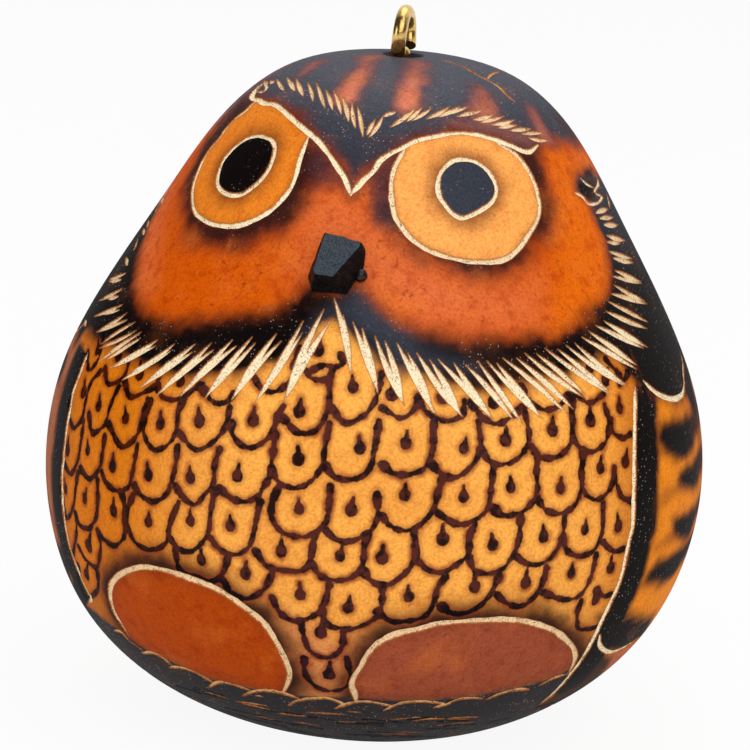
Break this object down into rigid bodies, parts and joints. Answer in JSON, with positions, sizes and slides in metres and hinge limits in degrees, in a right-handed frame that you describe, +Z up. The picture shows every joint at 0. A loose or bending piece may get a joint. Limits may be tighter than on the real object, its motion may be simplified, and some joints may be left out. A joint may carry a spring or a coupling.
{
  "type": "carved gourd ornament",
  "caption": "Hollow dried gourd carved and burnt as an owl, with a glued wooden beak and a screw eye at the stem end to hang it by.",
  "frame": {"origin": "middle of the flat spot that the gourd stands on", "axes": "+Z up the gourd's axis to the screw eye, -Y out of the owl's face, +X towards the owl's left wing"},
  "size_m": [0.07, 0.07, 0.0766],
  "materials": {
    "gourd_skin": "carved, scorched and dyed gourd rind under satin varnish",
    "eye_brass": "bright bent wire",
    "beak_black": "knife-cut chip, stained black",
    "glue": "hard glossy glue",
    "seed_coat": "dry matt seed coat"
  },
  "bodies": {
    "gourd": {"gourd_shell": "gourd_skin", "beak": "beak_black", "beak_glue": "glue", "dried_seeds": "seed_coat"},
    "eye": {"screw_eye": "eye_brass"}
  },
  "joints": [
    {"name": "screw_eye_turn", "type": "hinge", "parent": "gourd", "child": "eye", "pos_m": [0, 0, 0.0715], "axis": [0, 0, 1], "range_deg": [-90, 90]}
  ]
}
